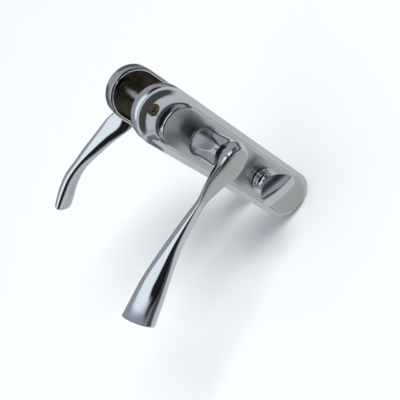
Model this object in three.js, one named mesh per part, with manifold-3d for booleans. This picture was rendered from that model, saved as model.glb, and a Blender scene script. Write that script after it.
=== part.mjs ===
// A lever handle set on long backplates for a bathroom door: one sprung lever and plate on each
// face of the door, a square spindle between them, and a thumbturn with its coin release below.
// Millimetres. X runs across the door, Y through it from inside to outside, Z up it. The origin
// is on the lever spindle's axis, in the middle of the door leaf.
import * as THREE from "three";
import { ParametricGeometry } from "three/addons/geometries/ParametricGeometry.js";
import { mergeVertices } from "three/addons/utils/BufferGeometryUtils.js";
import Module from "manifold-3d";

const wasm = await Module();
wasm.setup();

// ---- Driving dimensions -------------------------------------------------------------------
// "depth" is the distance out from the door's face, and "up" the height above the lever's axis.

const DOOR_THICKNESS = 35;
const GAP = 0.3; // clearance between neighbouring pieces
const RUNNING_CLEARANCE = 0.2; // on the radius of a piece that turns in another

const PLATE = {
  radius: 20, // half the width, and the radius of both ends
  top: 56,
  length: 178,
  wall: 2.2,
  rimDepth: 5.3, // height of the straight side wall
  lowDepth: 10.2, // outer face of the lower field round the screw
  filletInset: 7,
};
const PANEL = { radius: 15, top: 36.6, depth: 12.8, base: 7, bevelInset: 2.4, bevelDepth: 2.2 };

// Cast inside each plate: the hub that holds the lever's bush, the ring round the thumbturn, the
// screw boss, the post that anchors the spring and the stop for the spring plate's arm.
const HUB = { radius: 8.35, wall: 1.3, low: 6 };
const RING = { wall: 2.2, low: 8.4 };
const BOSS = { wall: 1.8, low: 0.6 };
const POST = { radius: 1.1, low: 7.2, x: 2.1, y: 13.9 };
const STOP = { across: 3.6, up: 3.7, low: 2.8, x: 14.8, y: -4.65 };
const OVERLAP = 0.2; // how far joined shapes run into each other

const LEVER = {
  neckRadius: 11.7,
  neckBase: PANEL.depth + 1.1,
  shankRadius: 7,
  shankEnd: 0.8,
  flat: 5.9, // distance of the two drive flats from the axis
  socketEnd: 30,
  groove: { low: 1.5, high: 2.7, cut: 0.8 }, // for the circlip that holds the lever on its plate
};
const BUSH = { low: 6.2, flangeRadius: 10.4, flangeTop: 0.9, fit: 0.1 };
const SPINDLE = { side: 8, length: 85, socketClearance: 0.3 };

const TURN = {
  up: -65,
  rest: THREE.MathUtils.degToRad(20), // how far the turn stands from level, its +X end lower
  shankRadius: 5,
  shankEnd: 5,
  collarRadius: 10.1,
  grooveRadius: 9.3,
  waistRadius: 7.4,
  headRadius: 14.6,
  headDepth: 36,
  scoopRadius: 14, // the two finger scoops, and half the thickness they leave between them
  scoopDepth: 35,
  halfGrip: 4.2,
  groove: { low: 5.9, high: 7, cut: 0.7 },
};
const TURN_SPINDLE = { side: 5, insideDepth: 16, outsideDepth: 11.4, socketClearance: 0.24 };
const RELEASE = { radius: 9, height: 3.6, slotWidth: 2, slotLength: 13, slotDepth: 1.8 };

const SCREW = { up: 46.4, shankRadius: 1.9, headRadius: 3.9, length: 28 };
const SLEEVE = { outerRadius: 2.75, boreRadius: 2.1, headRadius: 4.3, length: 38 };

const SPRING = {
  meanRadius: 10.9,
  wireRadius: 0.5,
  low: 5.4,
  high: 9.6, // the pitch, height over turns, stays above the wire's diameter plus a gap
  turns: 3.25,
  start: 0.28, // angle of the first leg
  leg: 0.08, // part of the wire in each leg
  legReach: 3.4, // how far each leg runs out past the coil
};
const SPRING_PLATE = { radius: 11.5, low: 3, thickness: 1.5, armRadius: 15.4, armWidth: 5 };
const TAB = { across: 2.4, up: 1.6, high: 6.8, x: 13.6 }; // winds the spring's free leg
const LEVER_CLIP = { outerRadius: 9.2, low: 1.7, bite: 0.65, thickness: 0.8 };
const TURN_CLIP = { outerRadius: 7.2, low: 6, bite: 0.55, thickness: 0.8 };
const TURN_WASHER = { outerRadius: 8.6, low: 7.3, thickness: 0.8 };
const CROSS_RECESS = { length: 4.2, width: 0.9, depth: 1.5 };
const HEAD_SINK = 0.3; // how far the screw heads sit below the plate's low field
const HOLE_CLEARANCE = 0.35; // between the fixing and its hole, on the radius

// The arm of the lever, from the knuckle at the neck to the tip: distance along the arm from the
// neck's axis, depth and height of the section's centre, and the section's half height, its half
// depth and how far it leans outwards (from -1 to 1). A power of 2 makes the section an ellipse,
// and a higher one makes it squarer. The blade stands upright at the knuckle, leans outwards as
// it narrows, passes through a round waist and leans back into a broad tip.
const ARM_STATIONS = [
  { along: -12, depth: 45.8, up: 0, high: 8.2, deep: 3.9, lean: 0, power: 3.4 },
  { along: 4, depth: 46.9, up: 0.5, high: 9.2, deep: 4, lean: 0.05, power: 3.4 },
  { along: 16, depth: 48.8, up: 3.9, high: 8.6, deep: 4.66, lean: 0.53, power: 2.8 },
  { along: 30, depth: 51.7, up: 7.4, high: 7.14, deep: 7.21, lean: 0.82, power: 2.3 },
  { along: 45, depth: 54.7, up: 9.6, high: 6.3, deep: 6.5, lean: 0.61, power: 2.05 },
  { along: 60, depth: 57.6, up: 11, high: 5.97, deep: 6.21, lean: 0.24, power: 2 },
  { along: 75, depth: 60.8, up: 11.3, high: 6.3, deep: 6.56, lean: -0.3, power: 2 },
  { along: 90, depth: 63.1, up: 10.1, high: 7.75, deep: 7.8, lean: -0.44, power: 2 },
  { along: 105, depth: 63, up: 6.4, high: 8.95, deep: 8.2, lean: -0.5, power: 2 },
  { along: 119, depth: 62.2, up: 2.4, high: 9.19, deep: 8.76, lean: -0.67, power: 2 },
];
const KNUCKLE = { radius: 9, edge: 2.2 }; // the round end of the blade, seen from outside
// The tip is cut askew: its outer lower corner ends short of the other one.
const TIP = { end: 115, skew: 0.3, skewStart: 88, up: -0.73, depth: 0.68, edge: 1.2 };
// The neck, from its round foot to the knuckle: depth, half sizes across and up, and how far its
// centre stands off the axis, away from the arm.
const NECK_STATIONS = [
  { depth: LEVER.neckBase, across: LEVER.neckRadius, up: LEVER.neckRadius, offset: 0 },
  { depth: 22, across: 11, up: 10.2, offset: 0.6 },
  { depth: 34, across: 11, up: 8.9, offset: 1.5 },
  { depth: 45, across: 10.6, up: 7.6, offset: 1.8 },
];

// ---- Materials ----------------------------------------------------------------------------

const material = (color, roughness, metalness) =>
  new THREE.MeshStandardMaterial({ color, roughness, metalness });
const chrome = material(0xd4d6da, 0.08, 1);
const steel = material(0x9c9c9a, 0.35, 1);
const springSteel = material(0x6f6d68, 0.4, 1);
const zincPlate = material(0xb3aa8c, 0.35, 1);
const nylon = material(0xe8e6de, 0.55, 0);

// ---- Solids -------------------------------------------------------------------------------

function solidOf(geometry) {
  const bare = geometry.clone();
  bare.deleteAttribute("normal");
  bare.deleteAttribute("uv");
  const merged = mergeVertices(bare);
  const corners = Array.from(merged.index.array);
  const triVerts = [];
  for (let i = 0; i < corners.length; i += 3) {
    const [a, b, c] = corners.slice(i, i + 3);
    if (a !== b && b !== c && c !== a) triVerts.push(a, b, c);
  }
  const vertProperties = Float32Array.from(merged.attributes.position.array);
  return new wasm.Manifold(
    new wasm.Mesh({ numProp: 3, vertProperties, triVerts: Uint32Array.from(triVerts) }),
  );
}

function geometryOf(solid) {
  const mesh = solid.getMesh();
  const geometry = new THREE.BufferGeometry();
  geometry.setAttribute("position", new THREE.BufferAttribute(mesh.vertProperties, 3));
  geometry.setIndex(new THREE.BufferAttribute(mesh.triVerts, 1));
  geometry.computeVertexNormals();
  return geometry;
}

// The mirror image across the plane x = 0, with its faces still pointing out.
function mirrored(geometry) {
  const image = geometry.clone().applyMatrix4(new THREE.Matrix4().makeScale(-1, 1, 1));
  const corners = image.index.array;
  for (let i = 0; i < corners.length; i += 3) {
    const first = corners[i];
    corners[i] = corners[i + 1];
    corners[i + 1] = first;
  }
  image.computeVertexNormals();
  return image;
}

// A round bar along the depth, from depth low to depth high.
function bar(radius, low, high, segments = 32) {
  const geometry = new THREE.CylinderGeometry(radius, radius, high - low, segments);
  return solidOf(geometry.rotateX(Math.PI / 2).translate(0, 0, (low + high) / 2));
}

// A cone frustum along the depth, with its own radius at each end.
function cone(lowRadius, highRadius, low, high, segments = 24) {
  const geometry = new THREE.CylinderGeometry(highRadius, lowRadius, high - low, segments);
  return solidOf(geometry.rotateX(Math.PI / 2).translate(0, 0, (low + high) / 2));
}

function block(across, up, low, high, x = 0, y = 0) {
  const geometry = new THREE.BoxGeometry(across, up, high - low);
  return solidOf(geometry.translate(x, y, (low + high) / 2));
}

// A body of revolution about the depth axis, from [radius, depth] pairs.
function turned(profile, segments = 32) {
  const points = profile.map(([radius, depth]) => new THREE.Vector2(radius, depth));
  return solidOf(new THREE.LatheGeometry(points, segments).rotateX(Math.PI / 2));
}

// An outline with straight sides and two round ends.
function stadium(radius, top, bottom) {
  const shape = new THREE.Shape();
  shape.absarc(0, top - radius, radius, 0, Math.PI, false);
  shape.absarc(0, bottom + radius, radius, Math.PI, 2 * Math.PI, false);
  return shape;
}

// The outline raised from the door, with a rounded outer edge.
function raised(shape, low, high, bevelInset, bevelDepth) {
  const straight = high - low - bevelDepth;
  const geometry = new THREE.ExtrudeGeometry(shape, {
    depth: straight,
    curveSegments: 8,
    bevelEnabled: bevelDepth > 0,
    bevelThickness: bevelDepth,
    bevelSize: bevelInset,
    bevelOffset: -bevelInset,
    bevelSegments: 2,
  });
  const solid = solidOf(geometry.translate(0, 0, low));
  return bevelDepth > 0 ? solid.subtract(block(100, 400, low - 2 * bevelDepth, low)) : solid;
}

// ---- Backplates ---------------------------------------------------------------------------

const PLATE_BOTTOM = PLATE.top - PLATE.length;
const RIM_INSET = PLATE.radius - PANEL.radius;
const RECESS_DEPTH = PANEL.depth - PLATE.wall;
const HOLLOW_DEPTH = PLATE.lowDepth - PLATE.wall;
const TURN_HOLE_RADIUS = TURN.shankRadius + GAP;

// A plate for the inside face of the door, with a hole for one head of the bolt-through fixing.
function backplate(screwHoleRadius, countersinkRadius) {
  const { radius, top, wall } = PLATE;
  const panelBottom = PLATE_BOTTOM + RIM_INSET;
  const fillet = PLATE.lowDepth - PLATE.rimDepth;
  const hollow = stadium(radius - wall, top - wall, PLATE_BOTTOM + wall);
  const recessRadius = PANEL.radius - wall;
  const recess = stadium(recessRadius, PANEL.top - wall, panelBottom + wall);

  let body = raised(stadium(radius, top, PLATE_BOTTOM), 0, PLATE.lowDepth, PLATE.filletInset, fillet);
  const panel = stadium(PANEL.radius, PANEL.top, panelBottom);
  body = body.add(raised(panel, PANEL.base, PANEL.depth, PANEL.bevelInset, PANEL.bevelDepth));
  body = body.subtract(raised(hollow, -1, HOLLOW_DEPTH, 0, 0));
  body = body.subtract(raised(recess, -1, RECESS_DEPTH, 0, 0));

  const roof = RECESS_DEPTH + OVERLAP;
  const lowRoof = HOLLOW_DEPTH + OVERLAP;
  const ring = bar(TURN_HOLE_RADIUS + RING.wall, RING.low, roof, 24);
  const boss = bar(screwHoleRadius + BOSS.wall, BOSS.low, lowRoof, 20);
  body = body.add(bar(HUB.radius + HUB.wall, HUB.low, roof));
  body = body.add(ring.translate([0, TURN.up, 0]));
  body = body.add(boss.translate([0, SCREW.up, 0]));
  body = body.add(bar(POST.radius, POST.low, roof, 10).translate([POST.x, POST.y, 0]));
  body = body.add(block(STOP.across, STOP.up, STOP.low, lowRoof, STOP.x, STOP.y));

  body = body.subtract(bar(HUB.radius, 0, PANEL.depth + 1));
  body = body.subtract(bar(TURN_HOLE_RADIUS, 0, PANEL.depth + 1, 24).translate([0, TURN.up, 0]));
  const sink = countersinkRadius - screwHoleRadius;
  const beyond = 0.5; // the cone runs on past the face at the same slope
  const sinkCone = cone(
    screwHoleRadius,
    countersinkRadius + beyond,
    PLATE.lowDepth - sink,
    PLATE.lowDepth + beyond,
  );
  const screwHole = bar(screwHoleRadius, 0, PLATE.lowDepth + 1, 24).add(sinkCone);
  return geometryOf(body.subtract(screwHole.translate([0, SCREW.up, 0])));
}

// ---- Levers -------------------------------------------------------------------------------

// A smooth value at "where" through the stations' own values.
function between(stations, key, value, where) {
  const last = stations.length - 1;
  let i = 0;
  while (i < last - 1 && stations[i + 1][key] < where) i += 1;
  const slope = (k) => {
    const a = stations[Math.max(k - 1, 0)];
    const b = stations[Math.min(k + 1, last)];
    return (b[value] - a[value]) / (b[key] - a[key]);
  };
  const span = stations[i + 1][key] - stations[i][key];
  const t = (where - stations[i][key]) / span;
  const start = stations[i][value];
  const end = stations[i + 1][value];
  const ease = t * t * (3 - 2 * t);
  const leave = t * (1 - t) * (1 - t) * slope(i) * span;
  const arrive = t * t * (1 - t) * slope(i + 1) * span;
  return start + (end - start) * ease + leave - arrive;
}

// A closed skin over rows of sections: each row is a centre with two half axes and the power of
// its outline, and the first and last rows close to a point.
function skin(rows, around) {
  const stacks = rows.length - 1;
  const bulge = (value, power) => Math.sign(value) * Math.abs(value) ** (2 / power);
  const surface = (u, v, target) => {
    const row = rows[Math.round(v * stacks)];
    const angle = u === 1 ? 0 : u * 2 * Math.PI;
    target.copy(row.centre);
    target.addScaledVector(row.first, bulge(Math.cos(angle), row.power));
    target.addScaledVector(row.second, bulge(Math.sin(angle), row.power));
  };
  return solidOf(new ParametricGeometry(surface, around, stacks));
}

// The two half axes are the columns of the square root of the section's spread, so that they
// never turn over where the lean changes sign. The second is reversed to turn the skin outwards.
function armRow(along, upScale, depthScale) {
  const at = (value) => between(ARM_STATIONS, "along", value, along);
  const [high, deep, lean] = [at("high"), at("deep"), at("lean")];
  const area = high * deep * Math.sqrt(1 - lean * lean);
  const size = Math.sqrt(high * high + deep * deep + 2 * area);
  const cross = (lean * high * deep) / size;
  const skew = TIP.skew * THREE.MathUtils.smoothstep(along, TIP.skewStart, TIP.end);
  const axis = (up, depth) => new THREE.Vector3(skew * (TIP.up * up + TIP.depth * depth), up, depth);
  return {
    centre: new THREE.Vector3(-along, at("up"), at("depth")),
    first: axis((high * high + area) / size, cross).multiplyScalar(upScale),
    second: axis(cross, (deep * deep + area) / size).multiplyScalar(-depthScale),
    power: at("power"),
  };
}

// A row of the knuckle's round end, at a share of its radius from the end.
function knuckleRow(share) {
  const { radius, edge } = KNUCKLE;
  const into = radius * share;
  const flat = 0.45; // share of the blade's thickness left on its end
  const round = Math.sqrt(1 - (1 - Math.min(into / edge, 1)) ** 2);
  const upScale = Math.sqrt(1 - (1 - share) ** 2);
  const depthScale = share === 0 ? 0 : flat + (1 - flat) * round;
  return armRow(ARM_STATIONS[0].along + into, upScale, depthScale);
}

function arm() {
  const rows = [0, 0.04, 0.12, 0.28, 0.55].map(knuckleRow);
  const start = ARM_STATIONS[0].along + KNUCKLE.radius;
  const steps = 20;
  for (let i = 0; i <= steps; i += 1) {
    rows.push(armRow(start + (i / steps) * (TIP.end - TIP.edge - start), 1, 1));
  }
  rows.push(armRow(TIP.end, 0.88, 0.88), armRow(TIP.end, 0, 0));
  return skin(rows, 20);
}

function neck() {
  const low = NECK_STATIONS[0].depth;
  const high = NECK_STATIONS.at(-1).depth;
  const steps = 6;
  const row = (depth, scale) => {
    const at = (value) => between(NECK_STATIONS, "depth", value, depth);
    return {
      centre: new THREE.Vector3(at("offset"), 0, depth),
      first: new THREE.Vector3(at("across") * scale, 0, 0),
      second: new THREE.Vector3(0, at("up") * scale, 0),
      power: 2,
    };
  };
  const rows = [row(low, 0)];
  for (let i = 0; i <= steps; i += 1) rows.push(row(low + (i / steps) * (high - low), 1));
  rows.push(row(high, 0));
  return skin(rows, 32);
}

// A ring cut round a shank, for a circlip.
function grooveCut(shankRadius, { low, high, cut }) {
  return bar(shankRadius + 1, low, high).subtract(bar(shankRadius - cut, low - 1, high + 1));
}

function lever() {
  const { shankRadius, shankEnd, flat, neckBase, socketEnd, groove } = LEVER;
  let body = neck().add(arm());
  body = body.add(bar(shankRadius, shankEnd, neckBase + 1));
  const flatEnd = SPRING_PLATE.low + SPRING_PLATE.thickness + 0.4;
  const cut = 4;
  for (const side of [1, -1]) {
    body = body.subtract(block(3 * shankRadius, cut, 0, flatEnd, 0, side * (flat + cut / 2)));
  }
  body = body.subtract(grooveCut(shankRadius, groove));
  const socket = SPINDLE.side + SPINDLE.socketClearance;
  return geometryOf(body.subtract(block(socket, socket, -1, socketEnd)));
}

function bush() {
  const bore = LEVER.shankRadius + RUNNING_CLEARANCE;
  const top = PANEL.depth + BUSH.flangeTop;
  const shell = bar(HUB.radius - BUSH.fit, BUSH.low, top);
  const flange = bar(BUSH.flangeRadius, PANEL.depth + BUSH.fit, top);
  return geometryOf(shell.add(flange).subtract(bar(bore, 0, top + 1)));
}

// ---- Return mechanism behind each lever ---------------------------------------------------

// The spring's wire: a close coil round the hub, with a leg bent outwards at each end.
class SpringWire extends THREE.Curve {
  getPoint(t, target = new THREE.Vector3()) {
    const { meanRadius, low, high, turns, start, leg, legReach } = SPRING;
    const ends = Math.max(0, (leg - t) / leg) + Math.max(0, (t - 1 + leg) / leg);
    const wound = THREE.MathUtils.clamp((t - leg) / (1 - 2 * leg), 0, 1);
    const angle = start + wound * (turns * 2 * Math.PI - start);
    const radius = meanRadius + legReach * ends;
    return target.set(radius * Math.cos(angle), radius * Math.sin(angle), low + (high - low) * wound);
  }
}

function returnSpring() {
  const section = new THREE.Shape();
  section.absarc(0, 0, SPRING.wireRadius, 0, 2 * Math.PI, false);
  const options = { steps: 50, curveSegments: 3, bevelEnabled: false, extrudePath: new SpringWire() };
  return geometryOf(solidOf(new THREE.ExtrudeGeometry(section, options)));
}

// The plate that the lever drives. Its arm rests on the backplate's stop, and its tab winds the
// spring when the lever is pressed.
function springPlate() {
  const { radius, low, thickness, armRadius, armWidth } = SPRING_PLATE;
  const high = low + thickness;
  const opening = bar(LEVER.shankRadius + RUNNING_CLEARANCE, low - 1, high + 1);
  const flatsWidth = 2 * (LEVER.flat + RUNNING_CLEARANCE);
  const flats = block(3 * LEVER.shankRadius, flatsWidth, low - 1, high + 1);
  const armStart = radius - 2.5;
  const armLength = armRadius - armStart;
  const arm = block(armLength, armWidth, low, high, armStart + armLength / 2);
  const tab = block(TAB.across, TAB.up, low, TAB.high, TAB.x);
  const body = bar(radius, low, high).add(arm).add(tab);
  return geometryOf(body.subtract(opening.intersect(flats)));
}

function circlip(shankRadius, { outerRadius, low, bite, thickness }) {
  const innerRadius = shankRadius - bite;
  const opening = 0.45; // half the angle of the gap in the ring
  const shape = new THREE.Shape();
  shape.absarc(0, 0, outerRadius, opening, 2 * Math.PI - opening, false);
  shape.absarc(0, 0, innerRadius, 2 * Math.PI - opening, opening, true);
  const options = { depth: thickness, curveSegments: 8, bevelEnabled: false };
  return new THREE.ExtrudeGeometry(shape, options).translate(0, 0, low);
}

function washer(innerRadius, { outerRadius, low, thickness }) {
  const high = low + thickness;
  const hole = bar(innerRadius, low - 1, high + 1, 24);
  return geometryOf(bar(outerRadius, low, high, 24).subtract(hole));
}

// ---- Thumbturn and coin release -----------------------------------------------------------

const TURN_SEAT = PANEL.depth + GAP;

function turnSocket(spindleDepth) {
  const socket = TURN_SPINDLE.side + TURN_SPINDLE.socketClearance;
  return block(socket, socket, 0, spindleDepth + GAP);
}

function turnShank() {
  const { shankRadius, shankEnd, groove } = TURN;
  const shank = bar(shankRadius, shankEnd, TURN_SEAT + 1, 24);
  return shank.subtract(grooveCut(shankRadius, groove));
}

// A round knob that flares out of a waist, with both sides scooped away to leave a finger grip.
function thumbturn() {
  const { collarRadius, grooveRadius, waistRadius, headRadius, headDepth, halfGrip } = TURN;
  const { scoopRadius, scoopDepth } = TURN;
  const profile = [
    [0, TURN_SEAT],
    [collarRadius - 0.5, TURN_SEAT],
    [collarRadius, TURN_SEAT + 0.5],
    [collarRadius, TURN_SEAT + 2.2],
    [grooveRadius, TURN_SEAT + 2.9],
    [grooveRadius, TURN_SEAT + 3.5],
    [collarRadius - 0.2, TURN_SEAT + 4.2],
    [collarRadius - 0.2, TURN_SEAT + 5.6],
    [waistRadius + 1.2, TURN_SEAT + 6.4],
    [waistRadius, TURN_SEAT + 8],
    [waistRadius + 0.6, TURN_SEAT + 10],
    [headRadius - 4, TURN_SEAT + 13],
    [headRadius - 1, TURN_SEAT + 17],
    [headRadius, headDepth - 2.4],
    [headRadius - 0.7, headDepth - 0.9],
    [headRadius - 2, headDepth - 0.4],
    [0, headDepth],
  ];
  let body = turned(profile, 32);
  for (const side of [1, -1]) {
    const scoop = new THREE.CylinderGeometry(scoopRadius, scoopRadius, 60, 28);
    scoop.rotateZ(Math.PI / 2).translate(0, side * (scoopRadius + halfGrip), scoopDepth);
    body = body.subtract(solidOf(scoop));
  }
  return geometryOf(body.add(turnShank()).subtract(turnSocket(TURN_SPINDLE.insideDepth)));
}

function coinRelease() {
  const { radius, height, slotWidth, slotLength, slotDepth } = RELEASE;
  const top = TURN_SEAT + height;
  const profile = [
    [0, TURN_SEAT],
    [radius, TURN_SEAT],
    [radius, top - 1],
    [radius - 1, top - 0.2],
    [radius - 2.5, top],
    [0, top],
  ];
  let body = turned(profile, 32).add(turnShank());
  body = body.subtract(block(slotLength, slotWidth, top - slotDepth, top + 1));
  return geometryOf(body.subtract(turnSocket(TURN_SPINDLE.outsideDepth)));
}

// ---- Bolt-through fixing ------------------------------------------------------------------

const SCREW_FACE = PLATE.lowDepth - HEAD_SINK;

function crossRecess() {
  const { length, width, depth } = CROSS_RECESS;
  const low = SCREW_FACE - depth;
  return block(length, width, low, SCREW_FACE + 1).add(block(width, length, low, SCREW_FACE + 1));
}

function fixingScrew() {
  const { shankRadius, headRadius, length } = SCREW;
  const neckDepth = SCREW_FACE - (headRadius - shankRadius);
  const head = cone(shankRadius, headRadius, neckDepth, SCREW_FACE);
  const body = head.add(bar(shankRadius, SCREW_FACE - length, neckDepth + 0.1, 24));
  return geometryOf(body.subtract(crossRecess()));
}

function sleeveNut() {
  const { outerRadius, boreRadius, headRadius, length } = SLEEVE;
  const neckDepth = SCREW_FACE - (headRadius - outerRadius);
  const head = cone(outerRadius, headRadius, neckDepth, SCREW_FACE);
  const end = SCREW_FACE - length;
  const body = head.add(bar(outerRadius, end, neckDepth + 0.1, 24));
  const bored = body.subtract(bar(boreRadius, end - 1, SCREW_FACE - 5, 24));
  return geometryOf(bored.subtract(crossRecess()));
}

// ---- Assembly -----------------------------------------------------------------------------

function named(name, geometry, finish, up = 0) {
  const mesh = new THREE.Mesh(geometry, finish);
  mesh.name = name;
  mesh.position.y = up;
  return mesh;
}

// One face of the door. The group turns depth to face out of the door on that side.
function face(side) {
  const inside = side === "inside";
  const handed = (geometry) => (inside ? geometry : mirrored(geometry));
  const group = new THREE.Group();
  group.rotation.set(Math.PI / 2, 0, inside ? 0 : Math.PI, "ZYX");
  group.position.y = (inside ? -1 : 1) * (DOOR_THICKNESS / 2);

  const screwHole = (inside ? SCREW.shankRadius : SLEEVE.outerRadius) + HOLE_CLEARANCE;
  const countersink = (inside ? SCREW.headRadius : SLEEVE.headRadius) + HOLE_CLEARANCE;
  const clip = circlip(LEVER.shankRadius, LEVER_CLIP);
  const turnClip = circlip(TURN.shankRadius, TURN_CLIP);
  const turnWasher = washer(TURN.shankRadius + GAP, TURN_WASHER);
  group.add(
    named(`${side}_backplate`, handed(backplate(screwHole, countersink)), chrome),
    named(`${side}_lever`, handed(lever()), chrome),
    named(`${side}_lever_bush`, bush(), nylon),
    named(`${side}_return_spring`, handed(returnSpring()), springSteel),
    named(`${side}_spring_plate`, handed(springPlate()), zincPlate),
    named(`${side}_lever_circlip`, clip, steel),
    named(`${side}_turn_washer`, turnWasher, springSteel, TURN.up),
    named(`${side}_turn_circlip`, turnClip, steel, TURN.up),
  );
  if (inside) {
    group.add(named("thumbturn", thumbturn().rotateZ(-TURN.rest), chrome, TURN.up));
    group.add(named("fixing_screw", fixingScrew(), zincPlate, SCREW.up));
  } else {
    group.add(named("coin_release", coinRelease().rotateZ(TURN.rest), chrome, TURN.up));
    group.add(named("sleeve_nut", sleeveNut(), zincPlate, SCREW.up));
  }
  return group;
}

const group = new THREE.Group();
group.add(face("inside"), face("outside"));

const leverSpindle = new THREE.BoxGeometry(SPINDLE.side, SPINDLE.length, SPINDLE.side);
group.add(named("lever_spindle", leverSpindle, steel));

const { side: turnSide, insideDepth, outsideDepth } = TURN_SPINDLE;
const turnLength = DOOR_THICKNESS + insideDepth + outsideDepth;
const turnSpindle = named("turn_spindle", new THREE.BoxGeometry(turnSide, turnLength, turnSide), steel);
turnSpindle.position.set(0, (outsideDepth - insideDepth) / 2, TURN.up);
turnSpindle.rotation.y = TURN.rest;
group.add(turnSpindle);

export default group;
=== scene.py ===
import math

import bmesh
import bpy
import numpy as np
from mathutils import Matrix, Vector
from mathutils.bvhtree import BVHTree


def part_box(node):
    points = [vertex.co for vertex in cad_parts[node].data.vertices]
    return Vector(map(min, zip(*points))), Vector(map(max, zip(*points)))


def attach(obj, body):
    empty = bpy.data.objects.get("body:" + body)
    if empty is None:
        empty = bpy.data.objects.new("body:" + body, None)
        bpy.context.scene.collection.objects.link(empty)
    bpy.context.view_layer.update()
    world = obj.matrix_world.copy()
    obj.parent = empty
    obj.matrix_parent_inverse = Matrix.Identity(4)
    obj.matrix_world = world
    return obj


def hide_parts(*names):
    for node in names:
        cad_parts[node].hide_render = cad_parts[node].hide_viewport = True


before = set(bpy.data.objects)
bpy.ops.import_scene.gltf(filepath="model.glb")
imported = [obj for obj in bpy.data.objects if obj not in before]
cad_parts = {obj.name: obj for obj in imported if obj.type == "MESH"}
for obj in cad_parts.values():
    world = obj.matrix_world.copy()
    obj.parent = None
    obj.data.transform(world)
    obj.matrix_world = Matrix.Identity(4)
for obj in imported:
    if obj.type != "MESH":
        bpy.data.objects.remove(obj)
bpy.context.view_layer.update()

MM = 0.001

# ---- Shapes, in millimetres --------------------------------------------------------------------
# Each face of the door has its own x, up and depth, with depth measured out from the door. The
# outside face is the mirror image of the inside one.

HALF_DOOR = 17.5

PLATE_RADIUS, PLATE_TOP, PLATE_BOTTOM, WALL = 20.0, 56.0, -122.0, 2.2
RIM_DEPTH, LOW_DEPTH, SHOULDER = 5.3, 10.2, 7.0
PANEL_RADIUS, PANEL_TOP, PANEL_DEPTH, PANEL_EDGE = 15.0, 36.6, 12.8, 12.1
PANEL_ROUND, COVE_FOOT, BLEND = 1.4, 9.3, 0.9
# How far the cove round the panel spreads, along its sides and past its round top end.
SIDE_COVE, END_COVE = 1.2, 9.0
HOLLOW_DEPTH, RECESS_DEPTH = LOW_DEPTH - WALL, PANEL_DEPTH - WALL
# The step from the hollow back up into the panel's recess is this wide.
RECESS_STEP = 0.6
HUB_HOLE, TURN_HOLE = 8.35, 5.3
TURN_UP, SCREW_UP = -65.0, 46.4
# radius of the hole and of its countersink
SCREW_HOLE = {"inside": (2.25, 4.25), "outside": (3.1, 4.65)}
# Bosses on the hollow back: radius, and the depth that each starts at.
HUB_BOSS, TURN_BOSS, SPRING_POST = (9.65, 6.0), (7.5, 8.4), (1.1, 7.2)
SPRING_POST_X, SPRING_POST_UP = 2.1, 13.9
SCREW_BOSS_WALL, SCREW_BOSS_START = 1.8, 0.6
# How far a boss runs into the plate, and the depths that a hole's cutter spans.
OVERLAP, THROUGH = 0.4, [-1, 15]

NECK_BASE, NECK_EDGE, NECK_ROUND = 13.9, 0.5, 2.0
# along the arm, depth, up, half height, half depth, lean outwards, power of the section's outline
ARM = np.array(
    [
        [-12, 45.8, 0, 8.2, 3.9, 0, 3.4],
        [4, 46.9, 0.5, 9.2, 4, 0.05, 3.4],
        [16, 48.8, 3.9, 8.6, 4.66, 0.53, 2.8],
        [30, 51.7, 7.4, 7.14, 7.21, 0.82, 2.3],
        [45, 54.7, 9.6, 6.3, 6.5, 0.61, 2.05],
        [60, 57.6, 11, 5.97, 6.21, 0.24, 2],
        [75, 60.8, 11.3, 6.3, 6.56, -0.3, 2],
        [90, 63.1, 10.1, 7.75, 7.8, -0.44, 2],
        [105, 63, 6.4, 8.95, 8.2, -0.5, 2],
        [119, 62.2, 2.4, 9.19, 8.76, -0.67, 2],
    ]
)
# depth, half across, half up, offset away from the arm
NECK = np.array(
    [[NECK_BASE, 11.7, 11.7, 0], [22, 11, 10.2, 0.6], [34, 11, 8.9, 1.5], [44, 10.6, 7.6, 1.8]]
)
KNUCKLE_RADIUS, KNUCKLE_ROUND, NECK_FILLET = 9.0, 2.2, 6.0
# The tip is cut askew: its outer lower corner ends short of the other one.
TIP_END, TIP_SKEW, TIP_UP, TIP_DEPTH, TIP_ROUND = 115.0, 0.3, -0.73, 0.68, 1.2

TURN_SEAT, TURN_REST = 13.1, math.radians(20)
# depth above the seat, radius
TURN_PROFILE = np.array(
    [
        [0, 9.6],
        [0.5, 10.1],
        [2.2, 10.1],
        [2.9, 9.3],
        [3.5, 9.3],
        [4.2, 9.9],
        [5.6, 9.9],
        [6.4, 8.6],
        [8, 7.4],
        [10, 8],
        [13, 10.6],
        [17, 13.6],
        [20.5, 14.6],
        [23, 14.6],
    ]
)
TURN_HEAD, HEAD_CROWN, HEAD_ROUND, TURN_EDGE = 36.0, 60.0, 1.6, 0.4
SCOOP_RADIUS, HALF_GRIP, SCOOP_DEPTH, SCOOP_ROUND = 14.0, 4.2, 35.0, 0.6

RELEASE_RADIUS, RELEASE_TOP, RELEASE_CROWN = 9.0, 16.7, 45.0
RELEASE_ROUND, RELEASE_EDGE = 1.3, 0.3
SLOT_WIDTH, SLOT_LENGTH, SLOT_DEPTH = 2.0, 13.0, 1.8
SLOT_CORNER, SLOT_EDGE = 0.4, 0.25

# Keeps a divisor from being zero, and the least steepness that a distance is divided by.
TINY, LEAST_SLOPE = 1e-6, 0.02


# ---- Fields: signed distance to a surface, negative inside -------------------------------------


def round_max(a, b, r):
    """The intersection of two shapes, with its edge rounded to radius r."""
    corner = np.hypot(np.maximum(a + r, 0), np.maximum(b + r, 0))
    return np.minimum(np.maximum(a, b), -r) + corner


def round_min(a, b, r):
    """The union of two shapes, with a fillet of radius r where they meet."""
    return -round_max(-a, -b, r)


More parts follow.
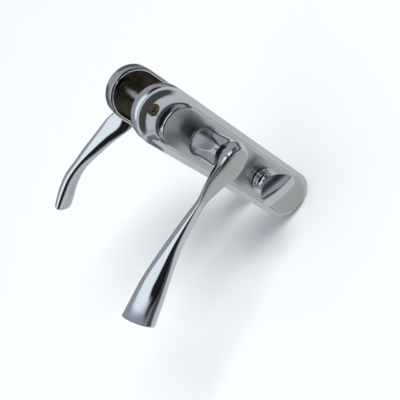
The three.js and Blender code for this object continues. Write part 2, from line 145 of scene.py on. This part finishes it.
def hermite(stations, where):
    """Every column of the stations after the first, smoothly, at each value of the first."""
    key = stations[:, 0]
    last = len(key) - 1
    ahead = np.minimum(np.arange(last + 1) + 1, last)
    behind = np.maximum(np.arange(last + 1) - 1, 0)
    slope = (stations[ahead] - stations[behind]) / (key[ahead] - key[behind])[:, None]
    where = np.clip(where, key[0], key[-1])
    i = np.clip(np.searchsorted(key, where, side="right") - 1, 0, last - 1)
    span = (key[i + 1] - key[i])[:, None]
    t = ((where - key[i]) / span[:, 0])[:, None]
    start, end = stations[i], stations[i + 1]
    value = start + (end - start) * t * t * (3 - 2 * t)
    value += t * (1 - t) ** 2 * slope[i] * span - t * t * (1 - t) * slope[i + 1] * span
    return value[:, 1:].T


def arm_section(p):
    """Where p falls on the arm's section, with the section stretched to a unit outline."""
    depth, up, high, deep, lean, n = hermite(ARM, -p[:, 0])
    du, dd = p[:, 1] - up, p[:, 2] - depth
    # The square root of the section's spread turns a circle into the section.
    area = high * deep * np.sqrt(1 - lean**2)
    size = np.sqrt(high**2 + deep**2 + 2 * area)
    tall, wide, cross = (high**2 + area) / size, (deep**2 + area) / size, lean * high * deep / size
    a, b = (wide * du - cross * dd) / area, (tall * dd - cross * du) / area
    return du, dd, a, b, n, (tall / area, wide / area, cross / area)


def knuckle_end(p, du):
    """Distance past the blade's round end."""
    beyond = ARM[0, 0] + KNUCKLE_RADIUS + p[:, 0]
    return np.hypot(du, np.maximum(beyond, 0)) - KNUCKLE_RADIUS + np.minimum(beyond, 0)


def arm_field(p):
    """The arm's section, closed by the knuckle's round end and by the tip's cut."""
    du, dd, a, b, n, (tall, wide, cross) = arm_section(p)
    g = ((np.abs(a) + TINY) ** n + (np.abs(b) + TINY) ** n) ** (1 / n)
    along_a = np.sign(a) * (np.abs(a) / g) ** (n - 1)
    along_b = np.sign(b) * (np.abs(b) / g) ** (n - 1)
    rise = along_a * wide - along_b * cross
    reach = along_b * tall - along_a * cross
    side = (g - 1) / np.maximum(np.hypot(rise, reach), LEAST_SLOPE)
    body = round_max(side, knuckle_end(p, du), KNUCKLE_ROUND)
    tip = TIP_SKEW * (TIP_UP * du + TIP_DEPTH * dd) - p[:, 0] - TIP_END
    return round_max(body, tip / math.hypot(1, TIP_SKEW), TIP_ROUND)


def neck_field(p):
    across, up, offset = hermite(NECK, p[:, 2])
    x, y = p[:, 0] - offset, p[:, 1]
    e = np.hypot(x / across, y / up) + TINY
    side = (e - 1) * e / np.hypot(x / across**2, y / up**2)
    body = round_max(side, NECK_BASE - p[:, 2], NECK_EDGE)
    return round_max(body, p[:, 2] - NECK[-1, 0], NECK_ROUND)


def lever_field(p):
    return round_min(arm_field(p), neck_field(p), NECK_FILLET)


def turned_back(p, angle):
    """Position along and across a turned piece, seen from its own face of the door."""
    x, up = p[:, 0], p[:, 1] - TURN_UP
    return x * math.cos(angle) - up * math.sin(angle), x * math.sin(angle) + up * math.cos(angle)


def thumbturn_field(p):
    depth = p[:, 2]
    _, across = turned_back(p, TURN_REST)
    rho = np.hypot(p[:, 0], p[:, 1] - TURN_UP)
    radius = hermite(TURN_PROFILE, depth - TURN_SEAT)[0]
    body = round_max(rho - radius, depth - TURN_HEAD + rho**2 / (2 * HEAD_CROWN), HEAD_ROUND)
    body = round_max(body, TURN_SEAT - depth, TURN_EDGE)
    for side in (1, -1):
        centre = side * (SCOOP_RADIUS + HALF_GRIP)
        scoop = np.hypot(across - centre, depth - SCOOP_DEPTH) - SCOOP_RADIUS
        body = round_max(body, -scoop, SCOOP_ROUND)
    return body


def release_field(p):
    depth = p[:, 2]
    along, across = turned_back(p, TURN_REST)
    rho = np.hypot(along, across)
    top = depth - RELEASE_TOP + rho**2 / (2 * RELEASE_CROWN)
    body = round_max(rho - RELEASE_RADIUS, top, RELEASE_ROUND)
    body = round_max(body, TURN_SEAT - depth, RELEASE_EDGE)
    wide, long = np.abs(across) - SLOT_WIDTH / 2, np.abs(along) - SLOT_LENGTH / 2
    slot = round_max(wide, long, SLOT_CORNER)
    slot = np.maximum(slot, RELEASE_TOP - SLOT_DEPTH - depth)
    return round_max(body, -slot, SLOT_EDGE)


def gradient(field, p, step=0.02):
    columns = []
    for axis in range(3):
        offset = np.zeros(3)
        offset[axis] = step
        columns.append((field(p + offset) - field(p - offset)) / (2 * step))
    return np.stack(columns, axis=1)


def eased(value, low, high):
    """0 below low and 1 above high, smoothly."""
    t = np.clip((value - low) / (high - low), 0, 1)
    return t * t * (3 - 2 * t)


def satin_on_lever(p):
    """The leaf-shaped satin face of the knuckle: its outer side, inside the polished edges.

    Each pair of numbers is where the satin starts and where it is complete.
    """
    du, _, a, b, _, _ = arm_section(p)
    leaf = eased(b, 0.55, 0.75) * eased(-np.abs(a), -0.86, -0.78)
    return leaf * eased(-knuckle_end(p, du), 1.2, 2) * eased(p[:, 0], -34, -26)


def satin_on_plate(p):
    """The raised panel's flat top."""
    return eased(panel_inset(p[:, :2]), 0.6, 1.1) * eased(p[:, 2], RECESS_DEPTH, PANEL_EDGE)


# ---- Meshes ------------------------------------------------------------------------------------

# Steps that draw a vertex onto a field, the longest of them in millimetres, and the least squared
# slope that a step divides by.
FIELD_STEPS, LONGEST_STEP, FLATTEST = 12, 0.4, 0.2
# A refined mesh keeps the CAD node's own faces up to this far above its seat.
KEPT = 0.2
# The way out of the door along Y, on each face.
OUT = {"inside": -1, "outside": 1}


def to_face(co):
    """Positions in the shared frame, in metres, to x, up and depth in millimetres."""
    return np.stack([co[:, 0], co[:, 2], np.abs(co[:, 1])], axis=1) / MM - [0, 0, HALF_DOOR]


def from_face(p, side):
    """The way back from to_face, on one face of the door."""
    return np.stack([p[:, 0], OUT[side] * (p[:, 2] + HALF_DOOR), p[:, 1]], axis=1) * MM


def coordinates(mesh):
    co = np.zeros(len(mesh.vertices) * 3)
    mesh.vertices.foreach_get("co", co)
    return co.reshape(-1, 3)


def marked(obj, satin):
    """obj with the satin share of every vertex kept on its mesh."""
    mesh = obj.data
    share = mesh.attributes.new("satin", "FLOAT", "POINT")
    share.data.foreach_set("value", satin(to_face(coordinates(mesh))).astype(np.float32))
    return obj


def linked(name, mesh):
    obj = bpy.data.objects.new(name, mesh)
    bpy.context.scene.collection.objects.link(obj)
    return obj


def applied(obj, kind, **settings):
    """obj's mesh with one modifier applied to it."""
    modifier = obj.modifiers.new(kind.lower(), kind)
    for key, value in settings.items():
        setattr(modifier, key, value)
    bpy.context.view_layer.update()
    evaluated = obj.evaluated_get(bpy.context.evaluated_depsgraph_get())
    mesh = bpy.data.meshes.new_from_object(evaluated)
    obj.modifiers.clear()
    obj.data = mesh
    return obj


def refined(name, node, voxel, field, low_depth):
    """A fine mesh of a CAD node, drawn onto the field wherever it stands out beyond low_depth."""
    obj = linked(name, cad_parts[node].data.copy())
    applied(obj, "REMESH", mode="VOXEL", voxel_size=voxel * MM, adaptivity=0)
    mesh = obj.data
    low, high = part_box(node)
    side = "inside" if low.y + high.y < 0 else "outside"
    spots = coordinates(mesh)
    p = to_face(spots)
    loose = p[:, 2] > low_depth
    p = p[loose]
    for _ in range(FIELD_STEPS):
        slope = gradient(field, p)
        size = np.maximum((slope**2).sum(1), FLATTEST)
        step = (field(p) / size)[:, None] * slope
        length = np.linalg.norm(step, axis=1, keepdims=True)
        p = p - step * np.minimum(1, LONGEST_STEP / np.maximum(length, TINY))
    spots[loose] = from_face(p, side)
    mesh.vertices.foreach_set("co", spots.astype(np.float32).ravel())
    mesh.update()
    mesh.shade_smooth()
    normals = np.zeros(len(spots) * 3)
    mesh.vertex_normals.foreach_get("vector", normals)
    normals = normals.reshape(-1, 3)
    slope = gradient(field, p)
    slope /= np.maximum(np.linalg.norm(slope, axis=1, keepdims=True), TINY)
    normals[loose] = np.stack([slope[:, 0], OUT[side] * slope[:, 2], slope[:, 1]], axis=1)
    mesh.normals_split_custom_set_from_vertices(normals.tolist())
    return obj


def mirrored(name, obj):
    """A copy of obj on the other face of the door."""
    mesh = obj.data.copy()
    normals = np.zeros(len(mesh.loops) * 3)
    mesh.corner_normals.foreach_get("vector", normals)
    normals = normals.reshape(-1, 3) * [1, -1, 1]
    mesh.transform(Matrix.Scale(-1, 4, Vector((0, 1, 0))))
    starts = np.zeros(len(mesh.polygons), dtype=int)
    totals = np.zeros(len(mesh.polygons), dtype=int)
    mesh.polygons.foreach_get("loop_start", starts)
    mesh.polygons.foreach_get("loop_total", totals)
    # Blender's flip keeps each face's first corner and reverses the others.
    mesh.flip_normals()
    order = np.arange(len(normals))
    for start, total in zip(starts, totals):
        order[start + 1 : start + total] = order[start + 1 : start + total][::-1]
    mesh.normals_split_custom_set(normals[order].tolist())
    return linked(name, mesh)


# ---- Backplates --------------------------------------------------------------------------------

# Height on the plate above which its points are close together.
FINE_ABOVE = 16
# Half the width of the slit that the innermost ring leaves, which is then welded shut.
SLIT = 0.02
WELD = 0.03
SHOULDER_RINGS, FLAT_RINGS = 22, 40
# The rounded edge between the rim's flat back and the side wall: inset and depth.
RIM_EDGE = ((0.5, 0.0), (0.15, 0.12), (0.0, 0.5), (0.0, RIM_DEPTH * 0.5))
# Depths of the points down the hollow's side wall.
HOLLOW_WALL = (HOLLOW_DEPTH - 0.8, 0.4, 0.0)


def stadium_ring(inset, radius=PLATE_RADIUS, top=PLATE_TOP, bottom=PLATE_BOTTOM):
    """Points round the plate's outline, moved in by inset, closest together by the panel's end."""
    r = max(radius - inset, SLIT)
    high, low = top - radius, bottom + radius
    arc = np.linspace(0, math.pi, 65)
    fine = np.linspace(high, FINE_ABOVE, 51)
    coarse = np.linspace(FINE_ABOVE, low, 71)
    side = np.concatenate([fine[1:], coarse[1:-1]])
    upper = np.stack([r * np.cos(arc), high + r * np.sin(arc)], axis=1)
    lower = np.stack([-r * np.cos(arc), low - r * np.sin(arc)], axis=1)
    left = np.stack([np.full(len(side), -r), side], axis=1)
    right = np.stack([np.full(len(side), r), side[::-1]], axis=1)
    return np.concatenate([upper, left, lower, right])


def quarter(share):
    """Height of a quarter round, from 0 at share 0 to 1 at share 1."""
    return np.sqrt(np.maximum(1 - (1 - np.clip(share, 0, 1)) ** 2, 0))


def spine_distance(xy, low, high):
    return np.hypot(xy[:, 0], xy[:, 1] - np.clip(xy[:, 1], low, high))


def panel_inset(xy):
    """Distance in from the panel's outline, negative outside it."""
    return PANEL_RADIUS - spine_distance(
        xy, PLATE_BOTTOM + PLATE_RADIUS, PANEL_TOP - PANEL_RADIUS
    )


def outer_depth(xy):
    """Depth of the plate's outer face: the shoulder, the low field and the raised panel."""
    inset = PLATE_RADIUS - spine_distance(xy, PLATE_BOTTOM + PLATE_RADIUS, PLATE_TOP - PLATE_RADIUS)
    plate = RIM_DEPTH + (LOW_DEPTH - RIM_DEPTH) * quarter(inset / SHOULDER)
    inside = panel_inset(xy)
    rounded = PANEL_EDGE + (PANEL_DEPTH - PANEL_EDGE) * quarter(inside / PANEL_ROUND)
    above = xy[:, 1] - PANEL_TOP + PANEL_RADIUS
    facing_up = np.clip(above / np.maximum(PANEL_RADIUS - inside, TINY), 0, 1)
    spread = SIDE_COVE + (END_COVE - SIDE_COVE) * facing_up**2
    cove = COVE_FOOT + (PANEL_EDGE - COVE_FOOT) * np.clip(1 + inside / spread, 0, 1) ** 2
    return round_union_height(plate, np.where(inside > 0, rounded, cove))


def round_union_height(a, b):
    """The higher of two heights, blended where they cross."""
    h = np.clip(0.5 + 0.5 * (a - b) / BLEND, 0, 1)
    return b + (a - b) * h + BLEND * h * (1 - h)


def inner_depth(xy):
    """Depth of the plate's hollow back."""
    inside = panel_inset(xy) - WALL
    share = np.clip(inside / RECESS_STEP + 0.5, 0, 1)
    return HOLLOW_DEPTH + (RECESS_DEPTH - HOLLOW_DEPTH) * share


def shell(rings):
    """A closed mesh from rings of points that each hold the same number: x, up and depth."""
    count = len(rings[0])
    verts = np.concatenate(rings)
    faces = []
    for k in range(len(rings) - 1):
        for i in range(count):
            j = (i + 1) % count
            faces.append((k * count + i, k * count + j, (k + 1) * count + j, (k + 1) * count + i))
    return verts, faces


def plate_mesh():
    """The plate without holes. Material 0 is the outer face and 1 the hollow back."""
    rings = []
    for inset in np.linspace(PLATE_RADIUS, WALL, FLAT_RINGS):
        xy = stadium_ring(inset)
        rings.append(np.column_stack([xy, inner_depth(xy)]))
    xy = stadium_ring(WALL)
    rings += [np.column_stack([xy, np.full(len(xy), depth)]) for depth in HOLLOW_WALL]
    edge = len(rings) - 1
    for inset, depth in RIM_EDGE:
        xy = stadium_ring(inset)
        rings.append(np.column_stack([xy, np.full(len(xy), depth)]))
    rounded = SHOULDER * (1 - np.cos(np.linspace(0, math.pi / 2, SHOULDER_RINGS)))
    flat = np.linspace(SHOULDER, PLATE_RADIUS, FLAT_RINGS)[1:]
    for inset in np.concatenate([rounded, flat]):
        xy = stadium_ring(inset)
        rings.append(np.column_stack([xy, outer_depth(xy)]))
    verts, faces = shell(rings)
    mesh = bpy.data.meshes.new("plate")
    mesh.from_pydata(from_face(verts, "inside").tolist(), [], faces)
    count = len(rings[0])
    slots = [1 if k // count < edge else 0 for k in range(len(faces))]
    mesh.polygons.foreach_set("material_index", slots)
    work = bmesh.new()
    work.from_mesh(mesh)
    # Both innermost rings are slits along the spine, and welding their sides closes the shell.
    bmesh.ops.remove_doubles(work, verts=work.verts, dist=WELD * MM)
    slits = [e for e in work.edges if e.is_boundary]
    bmesh.ops.holes_fill(work, edges=slits, sides=0)
    bmesh.ops.recalc_face_normals(work, faces=work.faces)
    work.to_mesh(mesh)
    work.free()
    return mesh


def column(radii, depths, x=0.0, up=0.0, segments=64):
    """A closed solid of revolution along the depth, as a mesh object to cut or add."""
    angle = np.linspace(0, 2 * math.pi, segments, endpoint=False)
    rings = [
        np.column_stack([x + r * np.cos(angle), up + r * np.sin(angle), np.full(segments, d)])
        for r, d in zip(radii, depths)
    ]
    verts, faces = shell(rings)
    faces += [tuple(range(segments)), tuple(len(verts) - segments + i for i in range(segments))]
    mesh = bpy.data.meshes.new("column")
    mesh.from_pydata(from_face(verts, "inside").tolist(), [], faces)
    work = bmesh.new()
    work.from_mesh(mesh)
    bmesh.ops.recalc_face_normals(work, faces=work.faces)
    work.to_mesh(mesh)
    work.free()
    return linked("column", mesh)


def combine(obj, tool, operation, slot=1):
    """Adds tool to obj, or cuts it out, and leaves tool's faces in one material slot."""
    for face in tool.data.polygons:
        face.material_index = slot
    for material in obj.data.materials:
        tool.data.materials.append(material)
    applied(obj, "BOOLEAN", operation=operation, object=tool, solver="EXACT")
    bpy.data.objects.remove(tool)


def polished(obj, source):
    """Smooth normals on the outer face, taken from the fine mesh it was cut from."""
    mesh = obj.data
    tree = BVHTree.FromPolygons(
        [v.co for v in source.vertices], [list(p.vertices) for p in source.polygons]
    )
    smooth = np.zeros(len(source.vertices) * 3)
    source.vertex_normals.foreach_get("vector", smooth)
    smooth = smooth.reshape(-1, 3)
    spots = coordinates(source)
    normals = np.zeros((len(mesh.loops), 3))
    found = {}
    for poly in mesh.polygons:
        poly.use_smooth = True
        for loop in poly.loop_indices:
            if poly.material_index != 0:
                normals[loop] = poly.normal
                continue
            v = mesh.loops[loop].vertex_index
            if v not in found:
                place, _, index, _ = tree.find_nearest(mesh.vertices[v].co)
                corners = list(source.polygons[index].vertices)
                gap = np.linalg.norm(spots[corners] - np.array(place), axis=1) + TINY * MM
                blend = (smooth[corners] / gap[:, None] ** 2).sum(0)
                found[v] = blend / np.linalg.norm(blend)
            normals[loop] = found[v]
    mesh.normals_split_custom_set(normals.tolist())


COUNTERSINK_SLOT = 2


def backplate(name, side, materials):
    """A plate with its bosses and holes. Its materials are the outer face's, the back's and the
    countersink's."""
    source = plate_mesh()
    obj = linked(name, source.copy())
    for material in materials:
        obj.data.materials.append(material)
    roof = RECESS_DEPTH + OVERLAP
    for (radius, start), up in ((HUB_BOSS, 0), (TURN_BOSS, TURN_UP)):
        combine(obj, column([radius] * 2, [start, roof], up=up), "UNION")
    hole, sink = SCREW_HOLE[side]
    span = [SCREW_BOSS_START, HOLLOW_DEPTH + OVERLAP]
    combine(obj, column([hole + SCREW_BOSS_WALL] * 2, span, up=SCREW_UP), "UNION")
    radius, start = SPRING_POST
    post = column([radius] * 2, [start, roof], SPRING_POST_X, SPRING_POST_UP, segments=24)
    combine(obj, post, "UNION")
    combine(obj, column([HUB_HOLE] * 2, THROUGH), "DIFFERENCE")
    combine(obj, column([TURN_HOLE] * 2, THROUGH, up=TURN_UP), "DIFFERENCE")
    # The countersink slopes at 45 degrees, and its cutter goes on past the plate's face.
    past = 2
    radii = [hole, hole, sink, sink + past]
    depths = [THROUGH[0], LOW_DEPTH - (sink - hole), LOW_DEPTH, LOW_DEPTH + past]
    combine(obj, column(radii, depths, up=SCREW_UP), "DIFFERENCE", COUNTERSINK_SLOT)
    polished(obj, source)
    marked(obj, satin_on_plate)
    if side == "outside":
        other = mirrored(name + ".mirror", obj)
        bpy.data.objects.remove(obj)
        other.name = name
        return other
    return obj


# ---- Materials ---------------------------------------------------------------------------------

# The part of a noise texture's values that is spread over the whole of a range.
NOISE_SPAN = (0.3, 0.7)
# How much finer a metal's uneven surface is than the drift of its colour.
FINER = 6
SATIN_DRIFT, SATIN_GRAIN = 90, 2500


def principled(name, colour, roughness, metallic):
    material = bpy.data.materials.new(name)
    material.use_nodes = True
    shader = material.node_tree.nodes["Principled BSDF"]
    shader.inputs["Base Color"].default_value = (*colour, 1)
    shader.inputs["Roughness"].default_value = roughness
    shader.inputs["Metallic"].default_value = metallic
    return material, shader


def noise(tree, scale, detail=3.0):
    """Noise fixed to the object, with scale in features per metre."""
    coords = tree.nodes.new("ShaderNodeTexCoord")
    texture = tree.nodes.new("ShaderNodeTexNoise")
    texture.inputs["Scale"].default_value = scale
    texture.inputs["Detail"].default_value = detail
    tree.links.new(coords.outputs["Object"], texture.inputs["Vector"])
    return texture.outputs["Fac"]


def ranged(tree, value, low, high):
    node = tree.nodes.new("ShaderNodeMapRange")
    node.inputs["From Min"].default_value, node.inputs["From Max"].default_value = NOISE_SPAN
    node.inputs["To Min"].default_value = low
    node.inputs["To Max"].default_value = high
    tree.links.new(value, node.inputs["Value"])
    return node.outputs["Result"]


def smooth_step(tree, value, start, end):
    """0 before start and 1 past end, smoothly. start may be the larger of the two."""
    node = tree.nodes.new("ShaderNodeMapRange")
    node.interpolation_type = "SMOOTHSTEP"
    node.inputs["From Min"].default_value = start
    node.inputs["From Max"].default_value = end
    tree.links.new(value, node.inputs["Value"])
    return node.outputs["Result"]


def bumped(tree, shader, value, distance_mm):
    bump = tree.nodes.new("ShaderNodeBump")
    bump.inputs["Distance"].default_value = distance_mm * MM
    tree.links.new(value, bump.inputs["Height"])
    tree.links.new(bump.outputs["Normal"], shader.inputs["Normal"])


def scalar_math(tree, operation, *values):
    node = tree.nodes.new("ShaderNodeMath")
    node.operation = operation
    for socket, value in zip(node.inputs, values):
        if isinstance(value, (int, float)):
            socket.default_value = value
        else:
            tree.links.new(value, socket)
    return node.outputs[0]


def vector_math(tree, operation, first, second=None):
    node = tree.nodes.new("ShaderNodeVectorMath")
    node.operation = operation
    tree.links.new(first, node.inputs[0])
    if second:
        node.inputs[1].default_value = second
    return node.outputs


def mixed(tree, factor, first, second, kind="RGBA"):
    """A mix of two colours, or of two values, each a socket or a plain colour."""
    node = tree.nodes.new("ShaderNodeMix")
    node.data_type = kind
    tree.links.new(factor, node.inputs["Factor"])
    for name, value in (("A", first), ("B", second)):
        if isinstance(value, tuple):
            node.inputs[name].default_value = (*value, 1)
        else:
            tree.links.new(value, node.inputs[name])
    return node.outputs["Result"]


def metal(name, colour, dark, roughness, scale, bump_mm):
    """A metal whose colour and roughness drift, with a fine uneven surface."""
    material, shader = principled(name, colour, roughness[0], 1.0)
    tree = material.node_tree
    value = noise(tree, scale)
    drift = mixed(tree, ranged(tree, value, 0, 1), dark, colour)
    tree.links.new(drift, shader.inputs["Base Color"])
    tree.links.new(ranged(tree, value, *roughness), shader.inputs["Roughness"])
    if bump_mm:
        bumped(tree, shader, noise(tree, scale * FINER), bump_mm)
    return material


def with_satin(material, colour, roughness, grain_mm):
    """material, with a satin finish wherever the mesh is marked as satin."""
    tree = material.node_tree
    shader = tree.nodes["Principled BSDF"]
    share = tree.nodes.new("ShaderNodeAttribute")
    share.attribute_name = "satin"
    share = share.outputs["Fac"]
    plain = shader.inputs["Base Color"].links[0].from_socket
    tree.links.new(mixed(tree, share, plain, colour), shader.inputs["Base Color"])
    polish = shader.inputs["Roughness"].links[0].from_socket
    satin = ranged(tree, noise(tree, SATIN_DRIFT), *roughness)
    tree.links.new(mixed(tree, share, polish, satin, "FLOAT"), shader.inputs["Roughness"])
    grain = scalar_math(tree, "MULTIPLY", noise(tree, SATIN_GRAIN, 2.0), share)
    bumped(tree, shader, grain, grain_mm)
    return material


# Chromium reflects a little over half of the light, with a slightly cool tint.
CHROME = ((0.57, 0.585, 0.61), (0.545, 0.56, 0.585), (0.04, 0.075), 60, 0)
chrome = metal("chrome", *CHROME)
two_tone = metal("chrome_and_satin_nickel", *CHROME)
two_tone = with_satin(two_tone, (0.44, 0.445, 0.43), (0.22, 0.28), 0.0006)
cast_back = metal("cast_back", (0.20, 0.17, 0.12), (0.10, 0.085, 0.06), (0.28, 0.45), 220, 0.05)
# The screw's brass is painted far darker than brass, in both of its drift colours, as painted
# shade: the screw head reads as the shade deep down its countersunk hole.
hole_shade_brass = metal("fixing_brass", (0.17, 0.125, 0.065), (0.04, 0.032, 0.02), (0.18, 0.3), 340, 0.01)
countersink = metal("countersink", (0.5, 0.5, 0.5), (0.34, 0.33, 0.31), (0.1, 0.2), 200, 0.01)
steel = metal("spindle_steel", (0.62, 0.62, 0.61), (0.48, 0.48, 0.47), (0.25, 0.38), 260, 0.02)
spring_steel = metal("spring_steel", (0.36, 0.34, 0.31), (0.22, 0.21, 0.19), (0.3, 0.42), 300, 0.01)
clip_steel = metal("circlip_steel", (0.24, 0.23, 0.22), (0.14, 0.14, 0.13), (0.35, 0.5), 300, 0.01)
zinc = metal("zinc_plate", (0.72, 0.66, 0.48), (0.60, 0.52, 0.36), (0.26, 0.4), 180, 0.01)
nylon, nylon_shader = principled("nylon", (0.86, 0.85, 0.80), 0.5, 0.0)
nylon_shader.inputs["Subsurface Weight"].default_value = 0.1
nylon_shader.inputs["Subsurface Radius"].default_value = (0.002, 0.002, 0.0015)
bumped(nylon.node_tree, nylon_shader, noise(nylon.node_tree, 500), 0.02)


# ---- The pieces --------------------------------------------------------------------------------


def stands_for(obj, node, body, material=None):
    """obj takes a CAD node's place. Without a material it keeps those it has."""
    if material:
        obj.data.materials.clear()
        obj.data.materials.append(material)
    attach(obj, body)
    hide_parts(node)


inside_lever = refined("lever_in", "inside_lever", 0.6, lever_field, NECK_BASE + KEPT)
marked(inside_lever, satin_on_lever)
outside_lever = mirrored("lever_out", inside_lever)
stands_for(inside_lever, "inside_lever", "levers", two_tone)
stands_for(outside_lever, "outside_lever", "levers", two_tone)

for side in ("inside", "outside"):
    plate = backplate(f"plate_{side}", side, [two_tone, cast_back, countersink])
    stands_for(plate, f"{side}_backplate", "plates")

knob = refined("knob", "thumbturn", 0.4, thumbturn_field, TURN_SEAT + KEPT)
stands_for(knob, "thumbturn", "privacy_turn", chrome)
release = refined("release", "coin_release", 0.3, release_field, TURN_SEAT + KEPT)
stands_for(release, "coin_release", "privacy_turn", chrome)

finishes = {
    "fixing_screw": hole_shade_brass,
    "sleeve_nut": steel,
    "lever_spindle": steel,
    "turn_spindle": steel,
    "return_spring": spring_steel,
    "turn_washer": spring_steel,
    "lever_circlip": clip_steel,
    "turn_circlip": clip_steel,
    "spring_plate": zinc,
    "lever_bush": nylon,
}
BEVEL, SHARP = 0.12 * MM, math.radians(40)


def finished(obj, material):
    """A CAD node that stays, with its material and with its sharp edges broken."""
    obj.data.materials.clear()
    obj.data.materials.append(material)
    bevel = obj.modifiers.new("edges", "BEVEL")
    bevel.width = BEVEL
    bevel.segments = 2
    bevel.limit_method = "ANGLE"
    bevel.angle_limit = SHARP
    bevel.harden_normals = True


for name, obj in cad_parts.items():
    for ending, material in finishes.items():
        if name.endswith(ending):
            finished(obj, material)

# ---- Floor, light and camera -------------------------------------------------------------------

# The floor lies just under the plates, and its half width is in metres.
FLOOR_UP, FLOOR_HALF = PLATE_BOTTOM * MM - 0.0002, 6.0
FLOOR_COLOUR = (0.67, 0.675, 0.675)
# The chrome sees the floor as a sheet of paper that ends in a dark room, within this ring of
# distances from the origin in metres.
FLOOR_IN_CHROME, ROOM_FLOOR = (0.53, 0.535, 0.545), (0.05, 0.05, 0.055)
PAPER_END = (0.3, 0.5)

# What the chrome sees above the floor. Azimuth, elevation, half width and half height in degrees,
# softness of the edge as a share of the patch, and colour. Later patches cover earlier ones.
STUDIO_BASE = (0.42, 0.44, 0.49)
STUDIO = [
    ((-39, 66, 40, 42), 0.25, (1.22, 1.34, 1.42)),  # overhead softbox
    ((-4, 14, 40, 16), 0.3, (0.015, 0.015, 0.018)),  # dark room behind the camera
    ((-8, 32, 28, 16), 0.3, (0.02, 0.02, 0.024)),  # photographer
    ((72, 42, 26, 18), 0.5, (0.03, 0.03, 0.034)),  # dark end of the room
]
# What the camera sees past the floor.
BACKDROP = (0.97, 0.972, 0.975)

# Azimuth and elevation of the key light, its width in degrees and its strength.
KEY_FROM, KEY_WIDTH, KEY_STRENGTH = (62, 52), 28, 3.5
KEY_COLOUR = (1.0, 0.99, 0.97)

SENSOR, LENS = 36, 48.18
CAMERA_PLACE = Vector((14.494, -315.705, 225.028)) * MM
CAMERA_RIGHT = Vector((0.55994693, -0.48706867, -0.67024141))
CAMERA_DOWN = Vector((-0.817833, -0.45449015, -0.35297009))
CAMERA_AHEAD = Vector((-0.13269745, 0.74579006, -0.6528312))


def towards(azimuth, elevation):
    """The unit vector at an azimuth from -Y, positive towards +X, and an elevation, in degrees."""
    a, e = math.radians(azimuth), math.radians(elevation)
    return Vector((math.sin(a) * math.cos(e), -math.cos(a) * math.cos(e), math.sin(e)))


def patch(tree, direction, place, softness):
    """1 inside an oval patch of sky and 0 outside it."""
    azimuth, elevation, half_width, half_height = place
    middle = towards(azimuth, elevation)
    across = towards(azimuth + 90, 0)
    above = across.cross(middle).normalized()
    ahead_by = vector_math(tree, "DOT_PRODUCT", direction, middle)["Value"]
    squares = []
    for axis, half in ((across, half_width), (above, half_height)):
        part = vector_math(tree, "DOT_PRODUCT", direction, axis)["Value"]
        angle = scalar_math(tree, "ARCTAN2", part, ahead_by)
        share = scalar_math(tree, "DIVIDE", angle, math.radians(half))
        squares.append(scalar_math(tree, "POWER", share, 2.0))
    total = scalar_math(tree, "ADD", *squares)
    return smooth_step(tree, total, (1 + softness) ** 2, (1 - softness) ** 2)


def studio_world():
    world = bpy.data.worlds.new("studio")
    world.use_nodes = True
    tree = world.node_tree
    direction = tree.nodes.new("ShaderNodeTexCoord").outputs["Generated"]
    colour = STUDIO_BASE
    for place, softness, shade in STUDIO:
        colour = mixed(tree, patch(tree, direction, place, softness), colour, shade)
    seen = tree.nodes.new("ShaderNodeLightPath").outputs["Is Camera Ray"]
    colour = mixed(tree, seen, colour, BACKDROP)
    tree.links.new(colour, tree.nodes["Background"].inputs["Color"])
    return world


def floor_material():
    material, shader = principled("floor", FLOOR_COLOUR, 0.5, 0.0)
    tree = material.node_tree
    spot = tree.nodes.new("ShaderNodeTexCoord").outputs["Object"]
    level = vector_math(tree, "MULTIPLY", spot, (1, 1, 0))["Vector"]
    distance = vector_math(tree, "LENGTH", level)["Value"]
    past_paper = smooth_step(tree, distance, *PAPER_END)
    in_chrome = mixed(tree, past_paper, FLOOR_IN_CHROME, ROOM_FLOOR)
    glossy = tree.nodes.new("ShaderNodeLightPath").outputs["Is Glossy Ray"]
    shade = mixed(tree, glossy, FLOOR_COLOUR, in_chrome)
    tree.links.new(shade, shader.inputs["Base Color"])
    return material


bpy.context.scene.world = studio_world()

floor_mesh = bpy.data.meshes.new("floor")
corners = [(-1, -1), (1, -1), (1, 1), (-1, 1)]
floor_corners = [(x * FLOOR_HALF, y * FLOOR_HALF, FLOOR_UP) for x, y in corners]
floor_mesh.from_pydata(floor_corners, [], [(0, 1, 2, 3)])
floor_mesh.materials.append(floor_material())
linked("floor", floor_mesh)

key_data = bpy.data.lights.new("key", "SUN")
key_data.angle = math.radians(KEY_WIDTH)
key_data.energy = KEY_STRENGTH
key_data.color = KEY_COLOUR
key = bpy.data.objects.new("key", key_data)
bpy.context.scene.collection.objects.link(key)
key.rotation_mode = "QUATERNION"
key.rotation_quaternion = towards(*KEY_FROM).to_track_quat("Z", "Y")
# The chrome shows the world's soft patches, and not the key light itself.
key.visible_glossy = False

camera_data = bpy.data.cameras.new("camera")
camera_data.sensor_width = SENSOR
camera_data.lens = LENS
camera = bpy.data.objects.new("camera", camera_data)
bpy.context.scene.collection.objects.link(camera)
turned = Matrix((CAMERA_RIGHT, -CAMERA_DOWN, -CAMERA_AHEAD)).transposed()
camera.matrix_world = Matrix.Translation(CAMERA_PLACE) @ turned.to_4x4()
bpy.context.scene.camera = camera
bpy.context.scene.view_settings.view_transform = "Standard"
